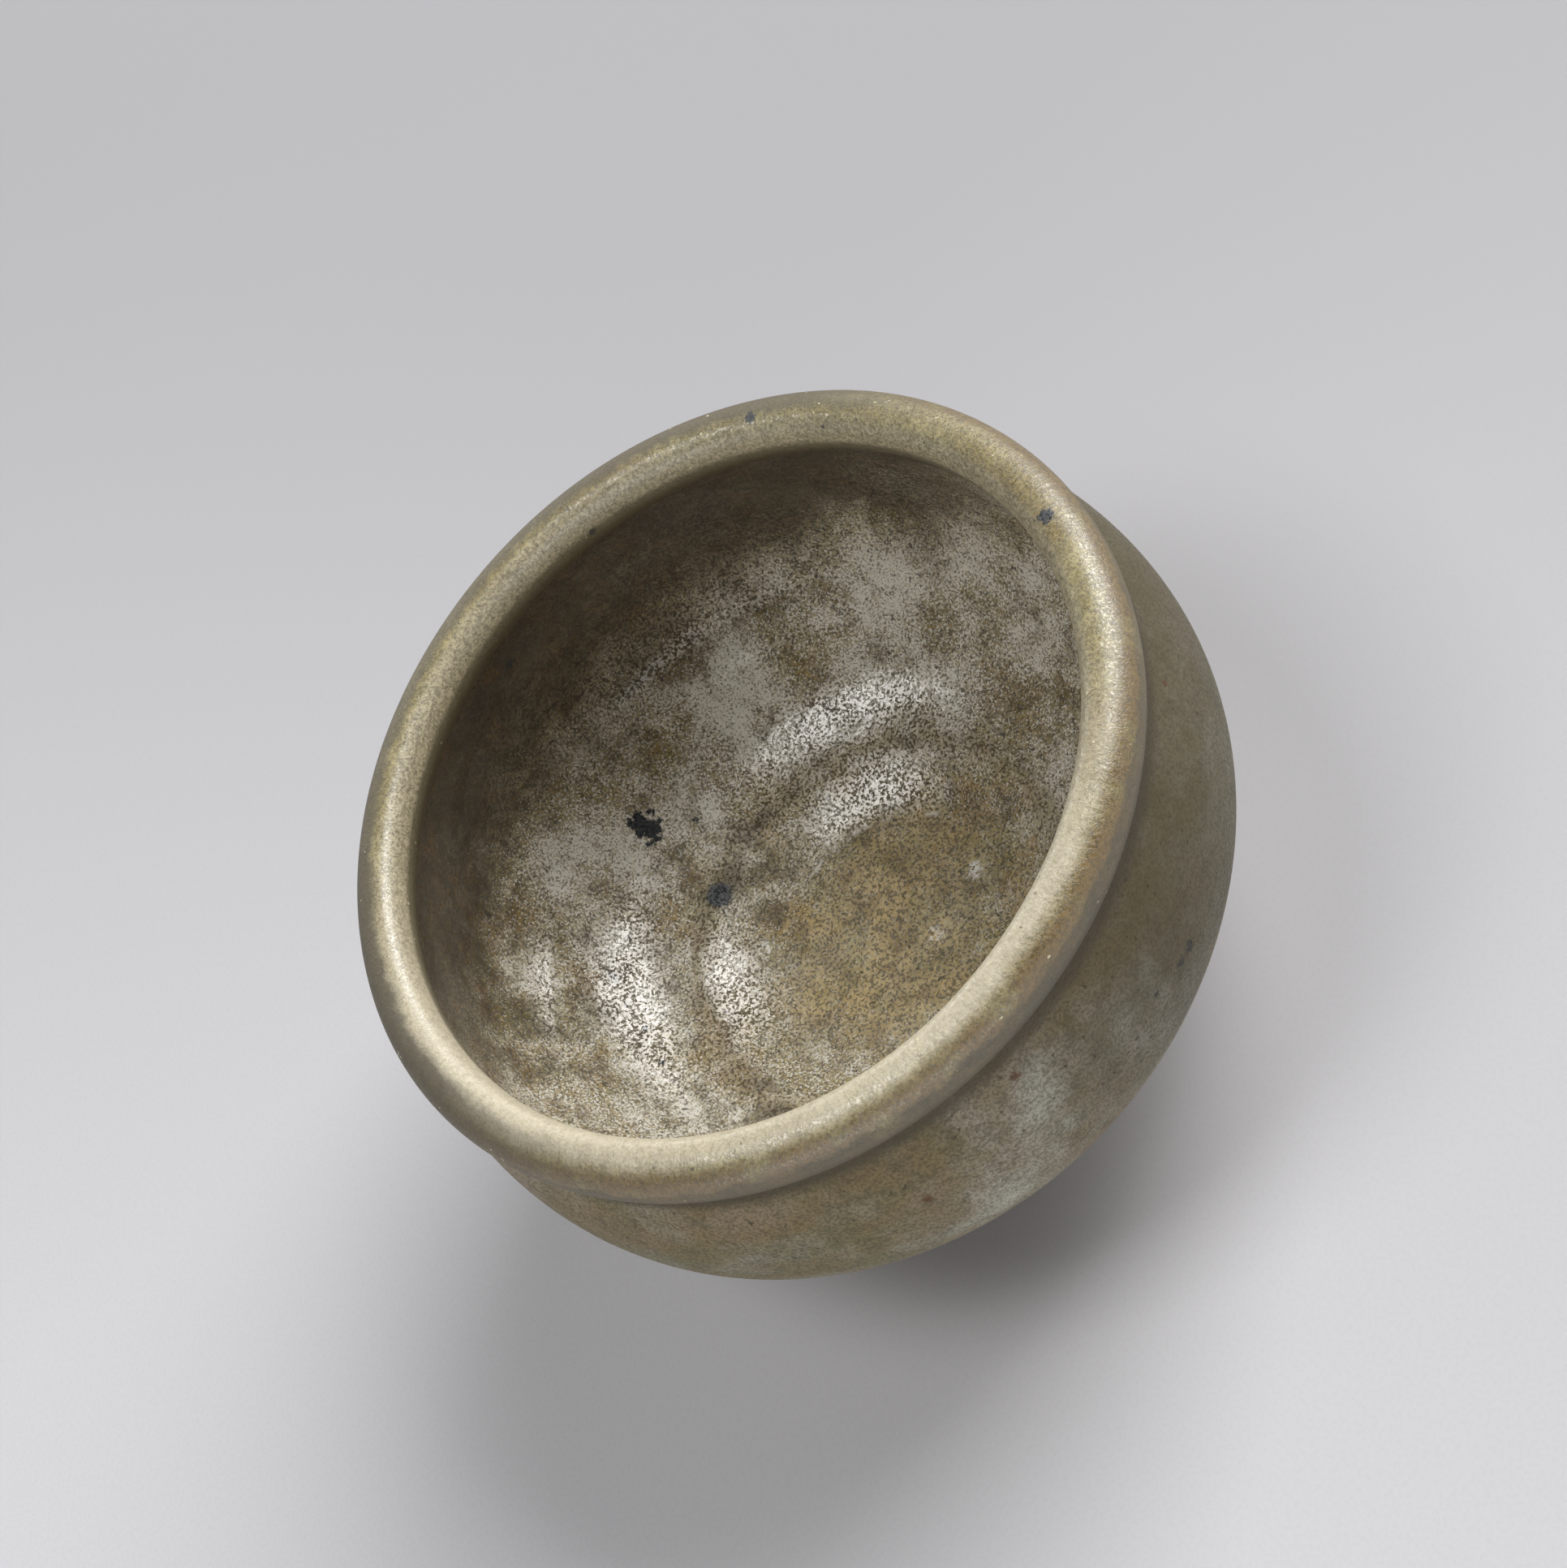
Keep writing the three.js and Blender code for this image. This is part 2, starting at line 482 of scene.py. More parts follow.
    def layered(self, base: str, *layers: tuple) -> Socket:
        """Lays colours over a base, from the lowest up.

        Args:
            base: the lowest colour.
            *layers: colours, each with the masks and shares whose product says how much of it lies there.

        Returns:
            The colour socket.
        """
        below: Socket | None = None
        for colour, *masks in layers:
            settings = {"data_type": "RGBA", MIX_ABOVE: linear(colour)}
            links = {0: self.overlap(*masks)}
            if below is None:
                settings[MIX_BELOW] = linear(base)
            else:
                links[MIX_BELOW] = below
            below = self.add("ShaderNodeMix", settings, links)[MIXED]
        return below

    def streaked(self, length: float, width: float) -> Socket:
        """Coordinates in which an even pattern comes out as streaks that run round the bowl.

        Args:
            length: how long a streak is, in millimetres.
            width: how wide it is, up the wall.

        Returns:
            The vector socket; its pattern has a size of 1.
        """
        facing = self.add("ShaderNodeVectorMath", {"operation": "NORMALIZE"}, {0: self.flat})[0]
        along = {"operation": "SCALE", "Scale": STREAK_RADIUS / length}
        round_it = self.add("ShaderNodeVectorMath", along, {0: facing})[0]
        climb = self.add("ShaderNodeMath", {"operation": "ADD"}, {0: self.radius, 1: self.height})[0]
        up = self.add("ShaderNodeMath", {"operation": "DIVIDE", 1: width}, {0: climb})[0]
        rise = self.add("ShaderNodeCombineXYZ", {}, {"Z": up})[0]
        return self.add("ShaderNodeVectorMath", {"operation": "ADD"}, {0: round_it, 1: rise})[0]

    def spots(self, spots: Sequence[Spot]) -> Socket:
        """Separate spots at set places.

        Args:
            spots: where they are, and how large and ragged.

        Returns:
            A mask from 0 to 1.
        """
        joined: Socket | None = None
        for spot in spots:
            wobble = self.mottle(spot.size / 4, 0.2, 0.8, detail=3.0, shift=spot.size)
            away = self.add("ShaderNodeVectorMath", {"operation": "DISTANCE", 1: spot.place}, {0: self.place})
            ragged = {"operation": "MULTIPLY_ADD", 1: spot.size * spot.ragged}
            reach = self.add("ShaderNodeMath", ragged, {0: wobble, 2: away["Value"]})[0]
            half = spot.size * (1 + spot.ragged) / 2
            mask = self.add("ShaderNodeMapRange", fading(half, half * (1 - spot.soft)), {"Value": reach})[0]
            if joined is None:
                joined = mask
            else:
                joined = self.add("ShaderNodeMath", {"operation": "MAXIMUM"}, {0: joined, 1: mask})[0]
        return joined

    def relief(self, layers: Sequence[tuple[Socket, float]]) -> Socket:
        """Stacks several reliefs.

        Args:
            layers: height masks, each with the depth in millimetres that its full range stands for.

        Returns:
            The normal socket.
        """
        normal: Socket | None = None
        for mask, depth in layers:
            links = {"Height": mask, **({} if normal is None else {"Normal": normal})}
            normal = self.add("ShaderNodeBump", {"Strength": 1.0, "Distance": depth * MM}, links)[0]
        return normal

    def fired(self, settings: dict, links: dict) -> bpy.types.Material:
        """Ends the tree with its shader.

        Args:
            settings: the shader's constant values.
            links: the sockets that vary over the surface.

        Returns:
            The finished material.
        """
        shader = self.add("ShaderNodeBsdfPrincipled", settings, links)
        self.add("ShaderNodeOutputMaterial", {}, {"Surface": shader[0]})
        return self.material


@dataclass(frozen=True)
class InnerAshGlaze:
    """Satin wood-ash glaze on iron-bearing stoneware, poured over the inside.

    Where it lies thin the brown clay shows through; where it lies thick it breaks into a milky warm-grey
    bloom of fine crystals. High on one side, and under the lip, it is painted dark: partly thin glaze and
    partly painted shade. The pool is painted paler, partly its own tan and partly painted light. To the eye:
    soft cloudy patches, a grain of pale granules, and highlights that the grain breaks up.
    """

    brown: str = "#a68a4c"
    # The pool's tan, made paler than the glaze to paint in light where the lip shades the pool.
    tan: str = "#dcc48e"
    dark_brown: str = "#302105"
    olive: str = "#a09356"
    rust: str = "#875f2c"
    veil: str = "#d2cbb6"
    milk: str = "#f4efe3"
    pit: str = "#342b17"
    speck: str = "#2e2a22"
    crystal: str = "#f6f2ea"
    iron: str = "#1e2226"
    halo: str = "#4e5a44"
    # Real crystals are nearer 0.2 mm, which would be lost in the picture, so they are drawn coarser.
    granule: float = 0.32
    pit_size: float = 0.42
    cloud: float = 10.0
    ior: float = 1.58
    roughness: tuple[float, float] = (0.24, 0.9)  # of sound glaze and of a pit
    ridge_roughness: float = 0.35  # what a ridge adds to it
    thin_and_shaded_towards: float = 95.0  # degrees from +X towards +Y; high on that side the glaze is darker, partly thin glaze and partly painted shade
    thin_and_shaded_above: float = 38.0  # the height from which it is darker there
    ridge_radius: float = 26.5  # the glaze runs thin over the ridge between two finger grooves
    ridge_width: float = 3.0
    ridge_tilt: float = 0.054  # how far that ring lies off centre, for each millimetre of its radius
    ridge_towards: float = 10.0  # degrees; the side where it lies nearest to the axis
    iron_spots: tuple[Spot, ...] = (
        Spot((-13.2, 35.9, 20.0), 4.6, 0.6, 0.2),
        Spot((-13.3, 22.5, 14.8), 4.2, 0.15, 0.3),
        Spot((-8.2, 0.8, 11.4), 1.0),
        Spot((-8.7, 47.2, 49.5), 2.6, 0.4, 0.6),
        Spot((-8.0, 32.5, 17.2), 1.2, 0.5, 0.5),
        Spot((-32.7, 14.0, 18.3), 1.3, 0.5, 0.5),
        Spot((-29.7, 14.3, 16.9), 1.1, 0.5, 0.5),
        Spot((-34.2, 8.4, 18.1), 1.3, 0.5, 0.5),
    )
    brown_spots: tuple[Spot, ...] = (
        Spot((-30.8, 22.7, 20.1), 3.0, 0.4, 0.6),
        Spot((-25.8, 25.8, 18.9), 1.0),
        Spot((-26.9, 4.0, 14.4), 1.5, 0.5, 0.5),
        Spot((-30.7, -2.8, 15.9), 1.5, 0.5, 0.5),
    )
    blooms: tuple[Spot, ...] = (
        Spot((39.1, 22.5, 26.3), 26.0, 0.4, 1.0),
        Spot((41.5, 10.9, 23.9), 15.0, 0.4, 1.0),
        Spot((9.0, 39.5, 22.0), 28.0, 0.5, 1.0),
        Spot((-27.7, 25.0, 19.4), 16.0, 0.4, 1.0),
    )
    # Darker brown patches. The first six, high on the wall towards the lip, also paint the shade that falls
    # there.
    browned: tuple[Spot, ...] = (
        Spot((-25.2, 41.6, 46.1), 24.0, 0.5, 1.0),
        Spot((-39.7, 29.3, 37.1), 24.0, 0.5, 1.0),
        Spot((16.2, 43.7, 54.2), 22.0, 0.5, 1.0),
        Spot((22.7, 43.4, 44.1), 18.0, 0.5, 1.0),
        Spot((35.5, 34.0, 42.2), 16.0, 0.5, 1.0),
        Spot((-16.2, 45.1, 49.7), 24.0, 0.5, 1.0),
        Spot((-10.5, 22.0, 13.7), 24.0, 0.5, 1.0),
        Spot((-30.0, -9.4, 18.0), 22.0, 0.5, 1.0),
        Spot((-40.5, 18.5, 27.0), 28.0, 0.5, 1.0),
    )
    halos: tuple[Spot, ...] = (Spot((-13.5, 22.8, 14.2), 6.5, 0.3, 0.8),)
    crystals: tuple[Spot, ...] = (
        Spot((12.1, -3.2, 11.5), 4.0, 0.5, 0.6),
        Spot((2.3, -5.1, 11.3), 3.4, 0.5, 0.6),
        Spot((-13.9, 13.0, 12.0), 2.8, 0.5, 0.6),
    )

    def material(self, form: BowlForm) -> bpy.types.Material:
        """Builds the finish.

        Args:
            form: the bowl's outline, for the zones.

        Returns:
            The material.
        """
        paint = Paint("inner_ash_glaze")
        beyond = 2 * form.rim_height
        # High on one side the inside is painted dark: partly thin glaze, partly painted shade.
        high = paint.band(paint.strayed(paint.height, size=9, amount=12), self.thin_and_shaded_above, beyond, soft=16)
        thin_and_shaded_side = paint.overlap(high, paint.band(paint.towards(self.thin_and_shaded_towards), 12, beyond, soft=30))
        # Under the lip the inside is painted dark: partly thin glaze, partly painted shade.
        thin_and_shaded_under_lip = paint.band(paint.strayed(paint.height, size=6, amount=10), form.lip_foot, beyond, soft=12)
        pool = paint.band(paint.strayed(paint.radius, size=7, amount=14), -10, form.pool_radius + 9, soft=14)
        tilt = {"operation": "MULTIPLY_ADD", 1: self.ridge_tilt}
        ring = paint.add("ShaderNodeMath", tilt, {0: paint.towards(self.ridge_towards), 2: paint.radius})[0]
        ring = paint.strayed(ring, size=5, amount=3)
        ridge_end = self.ridge_radius + self.ridge_width
        ridge = paint.band(ring, self.ridge_radius, ridge_end, soft=self.ridge_width)
        crowd = (paint.spots(self.browned), 0.3)
        browned = paint.mottle(4.0, 0.45, 0.75, detail=5.0, broken=0.6, crowd=crowd)
        thinned = ((thin_and_shaded_side, 0.88), (thin_and_shaded_under_lip, 0.9), (pool, 0.7), (ridge, 0.6), (browned, 0.7))
        thick = paint.overlap(*(paint.lacking(*thin) for thin in thinned))
        crowd = (paint.spots(self.blooms), 0.22)
        clouds = paint.mottle(self.cloud, 0.3, 0.74, detail=6.0, broken=0.62, crowd=crowd)
        bloom = paint.overlap(clouds, thick)
        patches = paint.mottle(4.0, 0.48, 0.66, shift=2.0, detail=5.0, broken=0.65)
        haze = paint.mottle(1.6, 0.42, 0.66, shift=13.0, detail=4.0, broken=0.65)
        streaks = paint.mottle(1.0, 0.4, 0.64, place=paint.streaked(30, 2.5), detail=5.0, broken=0.65)
        granules = paint.mottle(self.granule, 0.56, 0.64, detail=2.0, broken=0.65, crowd=(bloom, 0.16))
        pits = paint.mottle(self.pit_size, 0.5, 0.54, detail=3.0, broken=0.6, shift=11.0)
        specks = paint.mottle(0.9, 0.69, 0.74, shift=5.0, detail=1.0)
        pool_line = paint.band(paint.radius, form.pool_radius - 0.3, form.pool_radius + 0.3, soft=0.6)
        gaps = paint.overlap(paint.mottle(3.0, 0.52, 0.62, shift=7.0), paint.mottle(0.5, 0.45, 0.5))
        broken_line = paint.overlap(pool_line, gaps, 0.6)
        clusters = paint.overlap(paint.spots(self.crystals), paint.mottle(0.6, 0.46, 0.52, shift=8.0))
        colour = paint.layered(
            self.brown,
            # Painted light, with the pool's own tan.
            (self.tan, pool, 0.75),
            (self.olive, paint.mottle(6.0, 0.4, 0.6, shift=1.0, detail=5.0), 0.6),
            (self.rust, patches, 0.3),
            (self.dark_brown, streaks, 0.3),
            # Painted shade, with thin glaze, under the lip.
            (self.dark_brown, thin_and_shaded_under_lip, 0.8),
            # Painted shade, with thin glaze, high on one side.
            (self.dark_brown, thin_and_shaded_side, 0.9),
            # Darker brown patches; high on the wall they also paint shade.
            (self.dark_brown, browned, 0.6),
            (self.dark_brown, ridge, 0.2),
            (self.rust, patches, thin_and_shaded_side, 0.35),
            (self.veil, haze, 0.06),
            (self.veil, haze, thick, 0.3),
            (self.veil, bloom, 0.9),
            (self.pit, pits, 0.7),
            (self.milk, granules, thick, 0.9),
            (self.speck, specks, 0.7),
            (self.crystal, broken_line),
            (self.crystal, clusters),
            (self.dark_brown, paint.spots(self.brown_spots), 0.7),
            (self.halo, paint.spots(self.halos), 0.6),
            (self.iron, paint.spots(self.iron_spots)),
        )
        low, high = self.roughness
        rough = {"To Min": low, "To Max": high}
        skin = paint.add("ShaderNodeMapRange", rough, {"Value": pits})[0]
        duller = {"operation": "MULTIPLY_ADD", 1: self.ridge_roughness, "use_clamp": True}
        roughness = paint.add("ShaderNodeMath", duller, {0: ridge, 2: skin})[0]
        normal = paint.relief([(paint.mottle(2.5, 0.2, 0.8, detail=3.0), 0.05), (pits, -0.03)])
        links = {"Base Color": colour, "Roughness": roughness, "Normal": normal}
        return paint.fired({"IOR": self.ior, "Specular IOR Level": 1.0}, links)


@dataclass(frozen=True)
class LipAshGlaze:
    """The same ash glaze where it has run thin off the rolled lip and fired khaki.

    To the eye: a satin bead with a long soft highlight and a fine grain. On one side its crest is painted
    pale, partly paler glaze and partly a painted highlight, and its inner flank is paler all round, partly
    paler glaze and partly painted light. On the other side its outer half is dark and mossy brown. Its outer
    flank is a mottled brown, and where the bead turns under it is painted dark, partly dark glaze and partly
    painted shade.
    """

    khaki: str = "#aa9a63"
    pale: str = "#c8bb8a"
    olive: str = "#7b7138"
    ochre: str = "#80622f"
    moss: str = "#493f20"
    cream: str = "#ece2ba"
    flank_brown: str = "#56503a"
    speck: str = "#463b1c"
    iron: str = "#22262a"
    pale_glaze_and_painted_light: str = "#e3d8bd"
    ior: float = 1.65
    roughness: tuple[float, float] = (0.3, 0.44)  # between the grains and on them
    dull_roughness: float = 0.25  # what the mossy half and the flank add to it
    dark_half_towards: float = 110.0  # degrees from +X towards +Y; the crest's outer half is dark and mossy on that side
    painted_light_towards: float = 232.0  # the crest is painted pale on that one: paler glaze and a painted highlight
    iron_spots: tuple[Spot, ...] = (
        Spot((46.6, -12.3, 61.9), 2.5, 0.3, 0.3),
        Spot((34.8, 32.8, 61.8), 2.0, 0.5, 0.3),
        Spot((11.3, 43.9, 57.8), 1.3, 0.4, 0.3),
        Spot((11.2, 46.0, 61.6), 1.0, 0.5, 0.5),
        Spot((39.6, 23.8, 60.6), 0.8, 0.3, 0.3),
    )

    def material(self, form: BowlForm) -> bpy.types.Material:
        """Builds the finish.

        Args:
            form: the bowl's outline, for the zones.

        Returns:
            The material.
        """
        paint = Paint("lip_ash_glaze")
        beyond = form.lip_outer + 5
        middle = form.lip_mid_radius
        outer_edge = paint.band(paint.radius, middle + 0.5 * form.lip_half_width, beyond, soft=1.6)
        # The inner flank is painted paler: partly paler glaze, partly painted light.
        inner_edge = paint.band(paint.radius, 0, middle - 0.6 * form.lip_half_width, soft=1.8)
        inside = paint.band(paint.radius, 0, middle, soft=1.0)
        # Painted shade, partly dark glaze, on the bead's lower inner half.
        undercut = paint.overlap(inside, paint.band(paint.height, 0, form.lip_mid_height - 0.1, soft=1.3))
        dark_half_side = paint.band(paint.towards(self.dark_half_towards), 0, beyond, soft=36)
        wander = paint.strayed(paint.radius, size=3, amount=1.4)
        outer_half = paint.band(wander, middle, beyond, soft=1.8)
        dark_outer_half = paint.overlap(dark_half_side, outer_half)
        # On one side the crest is painted pale: partly paler glaze, partly a painted highlight.
        painted_light_side = paint.band(paint.towards(self.painted_light_towards), 12, beyond, soft=40)
        crest = paint.overlap(painted_light_side, paint.band(wander, 0, middle + 1.8, soft=3.2))
        outside = paint.band(paint.radius, middle, beyond, soft=1.0)
        ragged = paint.strayed(paint.height, size=5, amount=1.6)
        flank = paint.overlap(outside, paint.band(ragged, 0, form.lip_mid_height + 1.8, soft=0.8))
        # Painted shade, partly dark glaze, where the bead turns under.
        crease = paint.band(paint.height, 0, form.lip_mid_height - 0.3 * form.lip_fall, soft=1.6)
        grain = paint.mottle(0.34, 0.44, 0.58, detail=3.0, broken=0.7)
        cloud = paint.mottle(5.0, 0.4, 0.6, detail=5.0, broken=0.6)
        ribs = paint.mottle(1.0, 0.45, 0.65, place=paint.streaked(0.6, 1.6), detail=2.0)
        dots = paint.mottle(0.38, 0.51, 0.54, shift=5.0, detail=2.0, broken=0.7)
        dappled = paint.lacking(crest, 0.75)
        fleck = paint.mottle(0.6, 0.48, 0.56, shift=12.0, detail=3.0, broken=0.7)
        colour = paint.layered(
            self.khaki,
            (self.pale, cloud, 0.5),
            (self.olive, paint.mottle(2.2, 0.42, 0.62, shift=4.0, detail=4.0), 0.4),
            (self.ochre, paint.mottle(14.0, 0.48, 0.62, shift=6.0, detail=4.0), 0.3),
            # Painted light and a painted highlight, with paler glaze: the inner flank, and the crest on one
            # side.
            (self.pale_glaze_and_painted_light, inner_edge, 0.6),
            (self.pale_glaze_and_painted_light, crest, paint.mottle(0.8, 0.0, 0.5, shift=16.0, detail=4.0), 0.85),
            (self.olive, outer_edge, 0.4),
            (self.ochre, outer_edge, paint.mottle(5.0, 0.3, 0.5, shift=7.0, detail=5.0), 0.75),
            (self.moss, dark_outer_half, 0.85),
            (self.moss, fleck, dappled, 0.35),
            (self.speck, ribs, 0.12),
            (self.flank_brown, flank, paint.lacking(cloud, 0.45), 0.8),
            (self.speck, dots, dappled, 0.4),
            # Painted shade, partly dark glaze, at the bead's lower inner half and where it turns under.
            (self.speck, undercut, 0.75),
            (self.speck, crease, 0.8),
            (self.speck, paint.mottle(0.9, 0.72, 0.77, shift=9.0, detail=1.0), 0.7),
            (self.cream, paint.mottle(0.9, 0.74, 0.78, shift=15.0, detail=1.0), 0.8),
            (self.iron, paint.spots(self.iron_spots)),
        )
        low, high = self.roughness
        rough = {"To Min": low, "To Max": high}
        skin = paint.add("ShaderNodeMapRange", rough, {"Value": grain})[0]
        dull = paint.add("ShaderNodeMath", {"operation": "MAXIMUM"}, {0: dark_outer_half, 1: flank})[0]
        duller = {"operation": "MULTIPLY_ADD", 1: self.dull_roughness}
        roughness = paint.add("ShaderNodeMath", duller, {0: dull, 2: skin})[0]
        normal = paint.relief([(cloud, 0.03), (ribs, 0.012), (grain, 0.02)])
        links = {"Base Color": colour, "Roughness": roughness, "Normal": normal}
        return paint.fired({"IOR": self.ior, "Specular IOR Level": 1.0}, links)


@dataclass(frozen=True)
class OuterAshGlaze:
    """The ash glaze down the outside, thin and drawn into bands by the turning.

    To the eye: a satin grey-olive skin with brown streaks that run round with the rim, a dark brown band in
    the throat, partly painted shade under the bead, large pale patches and a few iron spots. Its shoulder is
    darker on one side, partly darker glaze and partly painted shade, and it is greyer and paler below the
    belly, partly paler glaze and partly painted light.
    """

    olive: str = "#7f7850"
    brown: str = "#8f754d"
    grey: str = "#a8a390"
    pale: str = "#d0cdc0"
    throat_brown_and_shade: str = "#433823"
    dark: str = "#4b442f"
    speck: str = "#3a3120"
    iron: str = "#2b2a27"
    rust: str = "#5f3a1c"
    roughness: tuple[float, float] = (0.42, 0.6)  # between the grains and on them
    shaded_towards: float = -38.0  # degrees from +X towards +Y; the shoulder is darker on that side, partly darker glaze and partly painted shade
    pale_patches: tuple[Spot, ...] = (
        Spot((-5.0, -53.5, 43.0), 30.0, 0.6, 1.0),
        Spot((-11.8, -53.1, 37.4), 28.0, 0.6, 1.0),
        Spot((12.1, -53.0, 38.6), 22.0, 0.6, 1.0),
    )
    brown_patches: tuple[Spot, ...] = (
        Spot((-24.0, -46.5, 50.3), 20.0, 0.6, 1.0),
        Spot((-18.0, -50.5, 44.0), 10.0, 0.6, 1.0),
        Spot((24.5, -46.9, 29.4), 16.0, 0.6, 1.0),
    )
    iron_spots: tuple[Spot, ...] = (
        Spot((20.6, -50.4, 38.0), 2.2, 0.5, 0.4),
        Spot((18.7, -51.1, 38.4), 1.6, 0.5, 0.4),
        Spot((14.1, -52.5, 40.1), 1.0, 0.4, 0.4),
    )
    rust_spots: tuple[Spot, ...] = (
        Spot((-3.1, -52.0, 50.1), 1.8, 0.3, 0.5),
        Spot((-20.0, -50.2, 43.4), 2.4, 0.4, 0.6),
        Spot((41.1, -32.0, 50.1), 1.2, 0.4, 0.5),
    )

    def material(self, form: BowlForm) -> bpy.types.Material:
        """Builds the finish.

        Args:
            form: the bowl's outline, for the zones.

        Returns:
            The material.
        """
        paint = Paint("outer_ash_glaze")
        beyond = form.rim_height
        throat_foot = form.lip_foot - form.throat_height
        high = paint.strayed(paint.height, size=8, amount=6)
        high = paint.band(high, form.belly_height - 8, beyond, soft=12)
        # Painted shade, with darker glaze: the shoulder on one side.
        shaded = paint.overlap(high, paint.band(paint.towards(self.shaded_towards), 36, beyond, soft=24))
        # The throat under the bead is painted dark: partly dark glaze, partly painted shade.
        throat = paint.band(paint.height, throat_foot, beyond, soft=2.5)
        shoulder = paint.band(paint.height, form.belly_height + 6, throat_foot, soft=5)
        # Below the belly the outside is painted paler: partly paler glaze, partly painted light from below.
        below = paint.band(paint.strayed(paint.height, size=8, amount=10), 0, form.belly_height, soft=14)
        grain = paint.mottle(0.4, 0.42, 0.6, detail=3.0, broken=0.7)
        streaks = paint.mottle(1.0, 0.42, 0.58, place=paint.streaked(22, 6), detail=5.0, broken=0.6)
        cloud = paint.mottle(8.0, 0.4, 0.62, detail=5.0, broken=0.6)
        dapple = paint.mottle(2.0, 0.45, 0.66, shift=3.0, detail=4.0, broken=0.65)
        specks = paint.mottle(0.8, 0.68, 0.74, shift=5.0, detail=1.0)
        colour = paint.layered(
            self.olive,
            (self.grey, cloud, 0.7),
            # Painted light from below, with paler glaze.
            (self.grey, below, 0.5),
            (self.brown, streaks, 0.5),
            (self.brown, shoulder, 0.2),
            (self.pale, paint.spots(self.pale_patches), 0.85),
            (self.brown, paint.spots(self.brown_patches), 0.45),
            (self.dark, dapple, 0.4),
            # Painted shade, with darker glaze, on one side of the shoulder.
            (self.dark, shaded, 0.7),
            # Painted shade, with dark glaze, in the throat under the bead.
            (self.throat_brown_and_shade, throat, 0.85),
            (self.dark, grain, 0.55),
            (self.speck, specks, 0.7),
            (self.rust, paint.spots(self.rust_spots), 0.85),
            (self.iron, paint.spots(self.iron_spots), 0.9),
        )
        low, high = self.roughness
        rough = {"To Min": low, "To Max": high}
        roughness = paint.add("ShaderNodeMapRange", rough, {"Value": grain})[0]
        normal = paint.relief([(cloud, 0.06), (streaks, 0.03), (grain, 0.02)])
        links = {"Base Color": colour, "Roughness": roughness, "Normal": normal}
        return paint.fired({"IOR": 1.5, "Specular IOR Level": 0.4}, links)


@dataclass(frozen=True)
class BareStoneware:
    """Unglazed iron-bearing stoneware, turned while leather-hard and fired.

    To the eye: matt and slightly sandy, with grit, iron specks and fine turning lines.
    """

    name: str = "stoneware"
    clay: str = "#6f6152"
    toast: str = "#7d5b40"
    grit: str = "#95897a"
    iron: str = "#33271d"
    toasted: float = 0.4
    grit_size: float = 0.5

    def material(self) -> bpy.types.Material:
        """Builds the finish.

        Returns:
            The material.
        """
        paint = Paint(self.name)
        lines = paint.mottle(1.0, 0.3, 0.7, place=paint.streaked(80, 0.5), detail=2.0)
        grit = paint.mottle(self.grit_size, 0.62, 0.72, detail=2.0, shift=2.0)
        colour = paint.layered(
            self.clay,
            (self.toast, paint.mottle(9.0, 0.3, 0.65, detail=4.0), self.toasted),
            (self.iron, lines, 0.18),
            (self.grit, grit, 0.6),
            (self.iron, paint.mottle(0.7, 0.73, 0.78, shift=6.0, detail=1.0)),
        )
        normal = paint.relief([(lines, 0.05), (paint.mottle(self.grit_size, 0.3, 0.75, detail=3.0), 0.04)])
        return paint.fired({"Roughness": 0.88, "IOR": 1.5}, {"Base Color": colour, "Normal": normal})


@dataclass(frozen=True)
class StudioPaper:
    """Matt seamless paper, neutral grey with a breath of lilac, with painted shade that darkens it towards
    its far side.
    """

    grey: str = "#e5e4e7"
    fibre: str = "#e1e0e3"
    # Painted shade: the paper darkens to this towards its far side.
    far: str = "#bbbabd"
    far_shade_towards: float = 38.0  # degrees from +X towards +Y
    far_shade_fade: float = 400.0  # millimetres over which it darkens

    def material(self) -> bpy.types.Material:
        """Builds the finish.

        Returns:
            The material.
        """
        paint = Paint("studio_paper")
        fade = fading(-self.far_shade_fade / 2, self.far_shade_fade / 2)
        farther_shade = paint.add("ShaderNodeMapRange", fade, {"Value": paint.towards(self.far_shade_towards)})[0]
        # Painted shade towards the far side.
        colour = paint.layered(self.grey, (self.fibre, paint.mottle(0.6, 0.4, 0.7)), (self.far, farther_shade))
        return paint.fired({"Roughness": 0.95, "Specular IOR Level": 0.2}, {"Base Color": colour})


class Piece:
    """What every fine piece has in common."""

    @staticmethod
    def place(piece: bpy.types.Object, material: bpy.types.Material, slot: Slot, node: str) -> None:
        """Dresses a piece, ties it to the bowl and has it stand for its CAD node.

        Args:
            piece: the fine mesh.
            material: its finish.
            slot: the slot for that finish; not used.
            node: the CAD node that it stands for.
        """
        piece.data.materials.append(material)
        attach(piece, BODY)
        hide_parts(node)
        log.info("%s: %d faces, for %s", piece.name, len(piece.data.polygons), node)


